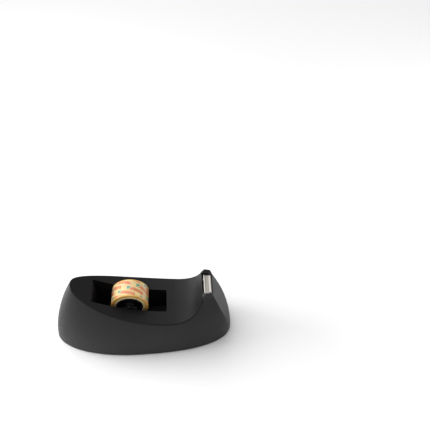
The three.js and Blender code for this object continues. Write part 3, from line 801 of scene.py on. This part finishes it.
class DISPENSER_OT_top_deck(bpy.types.Operator):
    """Saddle-shaped top plate with the roll's slot"""
    bl_idname = "dispenser.top_deck"
    bl_label = "Top deck"

    REAR, SIDE, RAMP, END = 60, 110, 70, 30     # columns on the far half, rear to groove

    def rim(self, body, profile, depth):
        """The plate's outer edge at a depth, as run along the profile and y."""
        start = profile.rear_run(body, depth)
        end = profile.run_at(profile.groove, depth)
        rear_to = profile.run_at(profile.groove - 0.112)
        side_to = profile.run_at(profile.groove - 0.024)
        run = np.concatenate((
            start + (rear_to - start) * np.linspace(0, 1, self.REAR, endpoint=False) ** 2,
            np.linspace(rear_to, side_to, self.SIDE, endpoint=False),
            np.linspace(side_to, end, self.RAMP)))
        x, z = profile.at(run, depth)
        y = body.half_breadth(x, z)
        y[0] = 0
        end_y = y[-1] * np.linspace(1, 0, self.END + 1)[1:]
        return np.concatenate((run, np.full(self.END, end))), np.concatenate((y, end_y))

    def slot_edge(self, profile, slot, corner):
        """The slot's outline and its outward direction, with as many points as the rim."""
        rear, front = profile.run_at(slot[0]), profile.run_at(slot[1])
        half, arc = slot[2], np.linspace(0, math.pi / 2, 6)
        front_count = self.RAMP + self.END - 6
        run = np.concatenate((
            np.full(self.REAR - 6, rear), rear + corner * (1 - np.sin(arc)[::-1]),
            np.linspace(rear + corner, front - corner, self.SIDE + 2)[1:-1],
            front - corner * (1 - np.sin(arc)), np.full(front_count, front)))
        y = np.concatenate((
            np.linspace(0, half - corner, self.REAR - 5)[:-1],
            half - corner * (1 - np.cos(arc)[::-1]), np.full(self.SIDE, half),
            half - corner * (1 - np.cos(arc)), np.linspace(half - corner, 0, front_count + 1)[1:]))
        out_run = np.concatenate((np.full(self.REAR - 6, -1.0), -np.sin(arc)[::-1],
                                  np.zeros(self.SIDE), np.sin(arc), np.full(front_count, 1.0)))
        out_y = np.sqrt(np.clip(1 - out_run ** 2, 0, 1))
        return run, y, out_run, out_y

    def execute(self, context):
        """Rows go round the plate's section: up the slot's wall, over the top by straight
        blends of slot and rim on the rolled-out surface, over the rim and back below."""
        scene = context.scene
        sizes = scene.dispenser_deck
        body, profile, slot = shapes(scene)
        rim_run, rim_y = self.rim(body, profile, 0.0)
        slot_run, slot_y, out_run, out_y = self.slot_edge(profile, slot, sizes.slot_corner)

        step_run, step_y = np.gradient(rim_run), np.gradient(rim_y)
        size = np.hypot(step_run, step_y)
        in_run, in_y = step_y / size, -step_run / size
        in_run[0], in_y[0], in_run[-1], in_y[-1] = 1, 0, -1, 0

        def at(run, y, depth):
            x, z = profile.at(run, depth)
            return np.stack((x, y, z), -1)

        def rim_row(inset, depth):
            run, y = self.rim(body, profile, depth)
            return at(run + in_run * inset, np.maximum(y + in_y * inset, 0), depth)

        def slot_row(offset, depth):
            return at(slot_run + out_run * offset, slot_y + out_y * offset, depth)

        rows = [slot_row(0, sizes.thickness), slot_row(0, sizes.thickness / 2)]
        small, edge = sizes.slot_round, sizes.edge_round
        for bend in np.linspace(0, math.pi / 2, 5):
            rows.append(slot_row(small * (1 - math.cos(bend)), small * (1 - math.sin(bend))))
        inner = (slot_run + out_run * small, slot_y + out_y * small)
        outer = (rim_run + in_run * edge, np.maximum(rim_y + in_y * edge, 0))
        steps = np.linspace(0, 1, 60)[1:-1]
        for part in np.concatenate(([0.012], steps, [0.988])):
            rows.append(at(inner[0] + (outer[0] - inner[0]) * part,
                           inner[1] + (outer[1] - inner[1]) * part, 0.0))
        for bend in np.linspace(math.pi / 2, 0, 5):
            rows.append(rim_row(edge * (1 - math.cos(bend)), edge * (1 - math.sin(bend))))
        hidden = scene.dispenser_body.wall + FIT_GAP
        rows.append(rim_row(0, sizes.lip))
        rows.append(rim_row(hidden, sizes.lip))
        rows.append(rim_row(hidden, sizes.thickness))
        under = (rim_run + in_run * hidden, np.maximum(rim_y + in_y * hidden, 0))
        for part in np.linspace(1, 0, 12)[1:-1]:
            rows.append(at(slot_run + (under[0] - slot_run) * part,
                           slot_y + (under[1] - slot_y) * part, sizes.thickness))
        points = mirrored(np.array(rows))
        make_piece("deck_plate", points, grid_faces(*points.shape[:2], True, True), "housing",
                   moulded_plastic("deck_moulding", scene.dispenser_finish.deck, 0.46),
                   ["top_deck"])
        return {"FINISHED"}


class DISPENSER_OT_well(bpy.types.Operator):
    """Well under the slot and the two holders for the axle"""
    bl_idname = "dispenser.well"
    bl_label = "Roll well"

    def execute(self, context):
        """The CAD's plain walls stay, with a dark moulded finish."""
        inner = moulded_plastic("inner_moulding", context.scene.dispenser_finish.inner, 0.6)
        for node in ("roll_well", "near_axle_cradle", "far_axle_cradle", "blade_carrier",
                     "base_plate"):
            keep_node(node, inner)
        return {"FINISHED"}


CHANNEL_LEAD = 0.0002            # cutter: from the end of the fold to the channel
CHANNEL_IN = 0.0009              # length of the slope down into it
CHANNEL_FROM, CHANNEL_TO = 0.0026, 0.0050        # its flat floor, from the cutter's back
CHANNEL_OUT = 0.0010             # length of the slope up out of it
# painted shade on the cutter, from its back: the channel is painted darker between these two places
PAINTED_SHADE_FROM, PAINTED_SHADE_TO = 0.0016, 0.0052


class DISPENSER_OT_cutter(bpy.types.Operator):
    """Folded cutting strip with its teeth"""
    bl_idname = "dispenser.cutter"
    bl_label = "Cutter"

    def execute(self, context):
        """The strip's section is carried along Y. Its upper face is a line with a fold, a
        channel and a toothed end: the last stretch is scaled so that it ends on the teeth, whose
        tips follow a triangle wave. The lower face is the upper one moved in by the sheet."""
        sizes = context.scene.dispenser_cutter
        back, tip = BLADE_LOW.x, BLADE_HIGH.x
        top, low = BLADE_HIGH.z, BLADE_LOW.z
        half = BLADE_HIGH.y
        fold, dip, sheet = sizes.fold, sizes.channel, sizes.sheet

        teeth = round(2 * half / sizes.tooth_pitch)
        y = np.linspace(-half, half, 4 * teeth + 1)
        wave = np.abs(((y + half) / (2 * half) * teeth) % 1 - 0.5) * 2
        reach = tip - sizes.tooth_depth * wave

        arc = np.linspace(0, math.pi / 2, 9)
        rise = (1 - np.cos(np.linspace(0, math.pi, 9))) / 2
        face_x = np.concatenate((np.full(6, back), back + fold * (1 - np.cos(arc))[1:],
                                 back + fold + CHANNEL_LEAD + CHANNEL_IN * np.linspace(0, 1, 9),
                                 back + np.linspace(CHANNEL_FROM, CHANNEL_TO, 6),
                                 back + CHANNEL_TO + CHANNEL_OUT * np.linspace(0, 1, 9)[1:]))
        face_z = np.concatenate((np.linspace(low, top - fold, 6),
                                 top - fold + fold * np.sin(arc)[1:],
                                 top - dip * rise, np.full(6, top - dip),
                                 top - dip * (1 - rise[1:])))
        face = np.stack((face_x, face_z), -1)
        step = np.gradient(face, axis=0)
        step /= np.linalg.norm(step, axis=1)[:, None]
        back_face = face + sheet * np.stack((step[:, 1], -step[:, 0]), -1)
        root = face_x[-1]
        end = np.linspace(0, 1, 5)[1:]

        def stretch(line, lowered):
            """The fixed stretch of a face and its toothed end, for every y."""
            fixed = np.broadcast_to(line[:, None, :], (len(line), len(y), 2))
            ends = np.stack((root + (reach[None, :] - root) * end[:, None],
                             np.full((len(end), len(y)), top - lowered)), -1)
            return np.concatenate((fixed, ends))

        section = np.concatenate((stretch(face, 0.0), stretch(back_face, sheet)[::-1]))
        points = np.stack((section[..., 0], np.broadcast_to(y, section.shape[:2]),
                           section[..., 1]), -1)
        rows = len(section)
        faces = [grid_faces(rows, len(y), wrap_rows=True)]
        strip = rows // 2
        lower = np.arange(strip - 1)
        for column in (0, len(y) - 1):
            upper = rows - 1 - lower
            faces.append(np.stack((lower, lower + 1, upper - 1, upper), -1) * len(y) + column)
        make_piece("cutting_strip", points, np.vstack(faces), "housing",
                   brushed_steel("brushed_stainless", context.scene.dispenser_finish.steel, 0.3,
                                 (1.0, 0.04, 1.0), painted_shade_span=(back + PAINTED_SHADE_FROM, back + PAINTED_SHADE_TO)),
                   ["cutting_blade"])
        return {"FINISHED"}


class DISPENSER_OT_hub(bpy.types.Operator):
    """Axle, hub drum and hub cap"""
    bl_idname = "dispenser.hub"
    bl_label = "Hub and axle"

    def spokes(self, count, inner, outer, face, back):
        """Bars with a rounded section, carried outwards from the boss to the rim and wider at
        both ends: half breadth is b (1 + f (2s - 1)^4)."""
        around = np.linspace(0, 2 * math.pi, 20, endpoint=False)
        s = np.linspace(0, 1, 9)[:, None]
        breadth = SPOKE_HALF * (1 + SPOKE_FLARE * (2 * s - 1) ** 4)
        side = breadth * np.sign(np.cos(around)) * np.abs(np.cos(around)) ** 0.4
        y = ((face + back) / 2 + (face - back) / 2 * np.sign(np.sin(around))
             * np.abs(np.sin(around)) ** 0.4 + 0 * s)
        out = inner + (outer - inner) * s + 0 * side
        parts = []
        for turn in 2 * math.pi * (np.arange(count) + 0.5) / count:
            x = AXLE_X + out * math.sin(turn) + side * math.cos(turn)
            z = AXLE_Z + out * math.cos(turn) - side * math.sin(turn)
            parts.append((np.stack((x, y, z), -1), grid_faces(9, 20, wrap_columns=True)))
        return parts

    def half_hub(self, sizes, side, boss_from, rim):
        """Boss and spokes of one end, with the rim outline that carries them."""
        face = side * (DRUM_HIGH.y - sizes.hub_recess)
        back = face - side * sizes.web
        bore, boss_to = HUB_BORE, boss_from - BOSS_LENGTH
        boss = rounded([(bore, side * boss_from), (sizes.boss_radius, side * boss_from),
                        (sizes.boss_radius, side * boss_to), (bore, side * boss_to)], 0.0004)
        ring = rounded(rim, 0.0004)
        disc = rounded([(bore, face), (sizes.boss_radius + 0.0012, face),
                        (sizes.boss_radius + 0.0012, back), (bore, back)], 0.0003)
        reach = min(radius for radius, _ in rim)
        return [revolve(boss, 64), revolve(disc, 64), revolve(ring, 160),
                *self.spokes(sizes.spokes, sizes.boss_radius - 0.0004, reach + 0.0004, face, back)]

    def execute(self, context):
        """Rings are outlines turned about the axle; the axle's ends are held in to its flats."""
        sizes = context.scene.dispenser_roll
        finish = context.scene.dispenser_finish
        plastic = moulded_plastic("hub_moulding", finish.hub, 0.4, 2200.0)
        outer = (DRUM_HIGH.x - DRUM_LOW.x) / 2
        inner = outer - sizes.hub_wall
        far = DRUM_HIGH.y
        drum_rim = [(inner, -far), (outer, -far), (outer, far), (inner, far)]
        boss_from = CAP_HIGH.y
        points, faces = join(*self.half_hub(sizes, -1, boss_from, drum_rim))
        make_piece("hub_drum_moulding", points, faces, "roll", plastic, ["hub_drum"])
        cap_outer = (CAP_HIGH.x - CAP_LOW.x) / 2
        face = far - sizes.hub_recess
        cap_rim = [(cap_outer - 0.0014, face - sizes.web), (cap_outer, face - sizes.web),
                   (cap_outer, face), (cap_outer - 0.0014, face)]
        points, faces = join(*self.half_hub(sizes, 1, boss_from, cap_rim))
        make_piece("hub_cap_moulding", points, faces, "roll", plastic, ["hub_cap"])

        pin = AXLE_RADIUS
        collar = (PIN_HIGH.x - PIN_LOW.x) / 2
        end = PIN_HIGH.y
        collar_in, collar_out = CLIP_LOW.y, CLIP_HIGH.y
        outline = np.array([
            (0, -end), (pin - 0.0004, -end), (pin - 0.0001, -end + 0.0001), (pin, -end + 0.0004),
            (pin, -collar_out - 0.00029), (pin, -collar_out - 0.0001), (pin, -collar_out),
            (collar - 0.0002, -collar_out), (collar, -collar_out + 0.0002),
            (collar, -collar_in - 0.0002), (collar - 0.0002, -collar_in), (pin, -collar_in),
            (pin, collar_in - 0.00005), (pin - 0.0005, collar_in - 0.00005),
            (pin - 0.0005, collar_out + 0.00005), (pin, collar_out + 0.00005),
            (pin, collar_out + 0.00029), (pin, end - 0.0004), (pin - 0.0001, end - 0.0001),
            (pin - 0.0004, end), (0, end)])
        points, faces = revolve(outline, 96)
        flat = np.abs(points[..., 1]) > collar_out + 0.00028
        held = AXLE_X + np.clip(points[..., 0] - AXLE_X, -AXLE_FLAT, AXLE_FLAT)
        points[..., 0] = np.where(flat, held, points[..., 0])
        make_piece("axle_rod", points, faces, "axle",
                   brushed_steel("blackened_steel", (0.05, 0.05, 0.052), 0.38, (1, 1, 1)),
                   ["axle_pin"])
        keep_node("axle_clip", brushed_steel("spring_steel", (0.35, 0.35, 0.36), 0.35, (1, 1, 1)))
        return {"FINISHED"}


class DISPENSER_OT_roll(bpy.types.Operator):
    """Paperboard core and the film wound on it"""
    bl_idname = "dispenser.roll"
    bl_label = "Roll of tape"

    def execute(self, context):
        """Both are rounded outlines turned about the axle; the film's map unrolls it."""
        finish, sizes = context.scene.dispenser_finish, context.scene.dispenser_roll
        half = ROLL_HIGH.y
        core_outer = (CORE_HIGH.x - CORE_LOW.x) / 2
        core_inner = core_outer - CORE_WALL
        points, faces = revolve(rounded([(core_inner, -half), (core_outer, -half),
                                         (core_outer, half), (core_inner, half)], 0.0002), 192)
        make_piece("paperboard_core", points, faces, "roll",
                   paperboard("core_board", finish.board), ["tape_core"])

        outer = (ROLL_HIGH.x - ROLL_LOW.x) / 2
        inner = core_outer + 0.0001
        edge, count = sizes.edge_round, 256
        arc = np.linspace(0, math.pi / 2, 6)
        radius = np.concatenate(([inner], np.linspace(inner, outer - edge, 7),
                                 outer - edge * (1 - np.sin(arc))[1:]))
        place = np.concatenate(([half], np.full(7, half), half - edge * (1 - np.cos(arc))[1:]))
        radius, place = radius[1:], place[1:]
        across = np.linspace(place[-1], 0, 14)[1:]
        radius = np.concatenate((radius, np.full(len(across), outer)))
        place = np.concatenate((place, across))
        steps = np.hypot(np.diff(radius), np.diff(place))
        section = np.concatenate((np.cumsum(steps[::-1])[::-1], [0]))
        radius = np.concatenate((radius, radius[-2::-1], [inner]))
        y = np.concatenate((place, -place[-2::-1], [half]))
        section = np.concatenate((section, -section[-2::-1], [-section[0] - 0.02]))
        turn = np.linspace(0, 2 * math.pi, count + 1)
        points = np.stack(np.broadcast_arrays(
            AXLE_X + radius[:, None] * np.sin(turn + math.pi), y[:, None],
            AXLE_Z + radius[:, None] * np.cos(turn + math.pi)), -1)
        uv = np.stack(np.broadcast_arrays(turn * outer, section[:, None]), -1)
        make_piece("film_winding", points, grid_faces(*points.shape[:2]), "roll",
                   printed_film("printed_film", finish, 2 * math.pi * outer, 2 * half, PRINT_START),
                   ["tape_winding"], uv)
        return {"FINISHED"}


class DISPENSER_OT_underside(bpy.types.Operator):
    """Foam pad, weight and screws"""
    bl_idname = "dispenser.underside"
    bl_label = "Underside"

    def execute(self, context):
        """The pad is the body's outline at the table, moved in and given rounded edges."""
        body, _, _ = shapes(context.scene)
        turn = np.linspace(0, 2 * math.pi, 240, endpoint=False)
        inset = SHELL_HIGH.x - PAD_HIGH.x
        thick, edge = PAD_HIGH.z - PAD_LOW.z, 0.0003
        rows = [self.flat(body, turn, inset, towards, PAD_LOW.z) for towards in (1.0, 0.51)]
        for bend in np.linspace(math.pi / 2, 0, 4):
            rows.append(self.flat(body, turn, inset + edge * (1 - math.cos(bend)), 0,
                                  PAD_LOW.z + edge * (1 - math.sin(bend))))
        for bend in np.linspace(0, math.pi / 2, 4):
            rows.append(self.flat(body, turn, inset + edge * (1 - math.cos(bend)), 0,
                                  PAD_LOW.z + thick - edge * (1 - math.sin(bend))))
        rows.append(self.flat(body, turn, inset, 0.5, PAD_HIGH.z))
        rows.append(self.flat(body, turn, inset, 1.0, PAD_HIGH.z))
        points = np.array(rows)
        make_piece("foam_pad", points, grid_faces(*points.shape[:2], wrap_columns=True), "housing",
                   rough_solid("cell_foam", (0.012, 0.012, 0.012), 0.95, 1500.0, 0.0002),
                   ["non_slip_pad"])
        keep_node("ballast_slab", rough_solid("casting", (0.09, 0.095, 0.1), 0.7, 500.0, 0.0003,
                                              1.0))
        zinc = brushed_steel("zinc_plate", (0.42, 0.43, 0.44), 0.35, (1, 1, 1))
        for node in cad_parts:
            if "_screw_" in node:
                keep_node(node, zinc)
        return {"FINISHED"}

    def flat(self, body, turn, inset, towards, z):
        """The outline at the table moved in by inset and drawn towards its middle."""
        line = body.point(turn, np.zeros(len(turn)), inset)
        middle = np.array([body.middle, 0, 0])
        line = line + (middle - line) * towards
        line[:, 2] = z
        return line


LIGHT_AIM = (0, 0, 0.04)
LIGHT_SIZE = 0.5
SIDE_LIGHTS = (("left", (-0.78, 0.12, 0.26), 2.8),      # name, place, share of the power
               ("right", (0.78, 0.08, 0.18), 0.6))
FLOOR_REACH = 3.0
FLOOR_COLOUR = (0.93, 0.93, 0.935, 1)


class DISPENSER_OT_stage(bpy.types.Operator):
    """Pale floor, soft lights and the camera"""
    bl_idname = "dispenser.stage"
    bl_label = "Stage"

    def floor(self):
        """A broad flat grid at the table's height."""
        side = np.linspace(-FLOOR_REACH, FLOOR_REACH, 13)
        x, y = np.meshgrid(side, side)
        mesh = bpy.data.meshes.new("floor")
        points = np.stack((x, y, 0 * x), -1).reshape(-1, 3)
        mesh.from_pydata(points.tolist(), [], grid_faces(13, 13).tolist())
        material, _, shader = new_material("pale_floor")
        shader.inputs["Base Color"].default_value = FLOOR_COLOUR
        shader.inputs["Roughness"].default_value = 0.9
        shader.inputs["Specular IOR Level"].default_value = 0.1
        mesh.materials.append(material)
        piece = bpy.data.objects.new("floor", mesh)
        bpy.context.scene.collection.objects.link(piece)

    def soft_light(self, name, place, aim, size, power):
        """A square area light at a place, turned to face a point."""
        data = bpy.data.lights.new(name, "AREA")
        data.shape, data.size, data.energy = "SQUARE", size, power
        light = bpy.data.objects.new(name, data)
        light.location = place
        direction = np.array(aim) - np.array(place)
        yaw = math.atan2(direction[1], direction[0]) - math.pi / 2
        pitch = math.pi / 2 + math.atan2(direction[2], math.hypot(*direction[:2]))
        light.rotation_euler = Euler((pitch, 0, yaw))
        bpy.context.scene.collection.objects.link(light)

    def execute(self, context):
        """A sky that is brightest high up at the far left, and a broad light on each side."""
        scene, sizes = context.scene, context.scene.dispenser_stage
        self.floor()
        world = bpy.data.worlds.new("studio")
        world.use_nodes = True
        tree = world.node_tree
        up = add(tree, "ShaderNodeVectorMath",
                 {0: add(tree, "ShaderNodeTexCoord").outputs["Generated"], 1: sizes.sky_from},
                 operation="DOT_PRODUCT").outputs["Value"]
        rise = math_node(tree, "POWER", math_node(tree, "MAXIMUM", up, 0.0), sizes.sky_power)
        tree.links.new(math_node(tree, "MULTIPLY_ADD", rise, sizes.sky_top, sizes.sky),
                       tree.nodes["Background"].inputs["Strength"])
        tree.nodes["Background"].inputs["Color"].default_value = (1, 1, 1, 1)
        scene.world = world
        for name, place, share in SIDE_LIGHTS:
            self.soft_light(name, place, LIGHT_AIM, LIGHT_SIZE, sizes.side_light * share)
        data = bpy.data.cameras.new("camera")
        data.sensor_width, data.lens = 36, sizes.lens
        camera = bpy.data.objects.new("camera", data)
        camera.location = sizes.camera_place
        camera.rotation_euler = Euler(sizes.camera_turn)
        scene.collection.objects.link(camera)
        scene.camera = camera
        scene.view_settings.view_transform = "Standard"
        return {"FINISHED"}


BUILDERS = (DISPENSER_OT_side_shell, DISPENSER_OT_top_deck, DISPENSER_OT_well,
            DISPENSER_OT_cutter, DISPENSER_OT_hub, DISPENSER_OT_roll, DISPENSER_OT_underside,
            DISPENSER_OT_stage)
GROUPS = {"dispenser_body": BodySizes, "dispenser_deck": DeckSizes,
          "dispenser_cutter": CutterSizes, "dispenser_roll": RollSizes,
          "dispenser_finish": Finishes, "dispenser_stage": StageSettings}


class DISPENSER_PT_sidebar(bpy.types.Panel):
    """Buttons that build the dispenser, and its sizes"""
    bl_idname = "DISPENSER_PT_sidebar"
    bl_label = "Desk tape dispenser"
    bl_space_type = "VIEW_3D"
    bl_region_type = "UI"
    bl_category = "Dispenser"

    def draw(self, context):
        """One button for each builder, then each group's properties."""
        for builder in BUILDERS:
            self.layout.operator(builder.bl_idname)
        for group, kind in GROUPS.items():
            box = self.layout.box()
            for name in kind.__annotations__:
                box.prop(getattr(context.scene, group), name)


def register():
    """Registers the classes and hangs the property groups on the scene."""
    for kind in (*GROUPS.values(), *BUILDERS, DISPENSER_PT_sidebar):
        bpy.utils.register_class(kind)
    for group, kind in GROUPS.items():
        setattr(bpy.types.Scene, group, PointerProperty(type=kind))


def unregister():
    """Undoes register."""
    for group in GROUPS:
        delattr(bpy.types.Scene, group)
    for kind in (DISPENSER_PT_sidebar, *reversed(BUILDERS), *reversed(tuple(GROUPS.values()))):
        bpy.utils.unregister_class(kind)


def main():
    """Builds every piece in order."""
    register()
    for builder in BUILDERS:
        group, name = builder.bl_idname.split(".")
        getattr(getattr(bpy.ops, group), name)()


if __name__ == "__main__":
    main()
